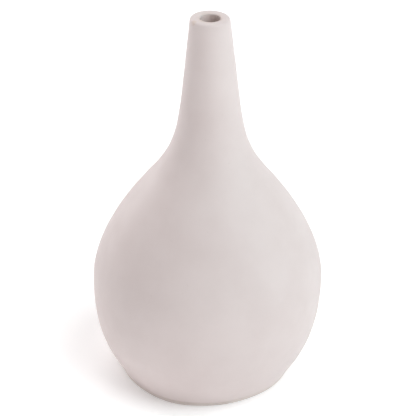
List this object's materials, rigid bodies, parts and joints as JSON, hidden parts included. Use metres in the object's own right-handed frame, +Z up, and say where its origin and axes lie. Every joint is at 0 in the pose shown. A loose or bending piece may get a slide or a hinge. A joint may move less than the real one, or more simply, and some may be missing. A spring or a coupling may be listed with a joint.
{
  "type": "bud vase",
  "caption": "Round-bellied ceramic bud vase with a slender tapering neck, a narrow mouth for one stem and a recessed foot ring.",
  "frame": {"origin": "centre of the foot ring's resting face, on the surface that the vase stands on", "axes": "+Z up along the vase's axis of revolution, towards the mouth; X and Y are any two level directions"},
  "size_m": [0.1204, 0.1204, 0.2],
  "materials": {
    "matt_glaze": "smooth matt off-white glaze with a faint pink cast",
    "liner_glaze": "thin glossy clear liner over warm grey-brown clay",
    "clay": "bare fired stoneware, pale and slightly warm",
    "slip": "fired joining slip, slightly darker than the clay"
  },
  "bodies": {
    "root": {"foot_ring": "clay", "foot_slip": "slip", "lower_body": "clay", "belly_slip": "slip", "upper_body": "clay", "neck_slip": "slip", "neck": "clay", "outer_glaze": "matt_glaze", "liner_glaze": "liner_glaze"}
  },
  "joints": []
}
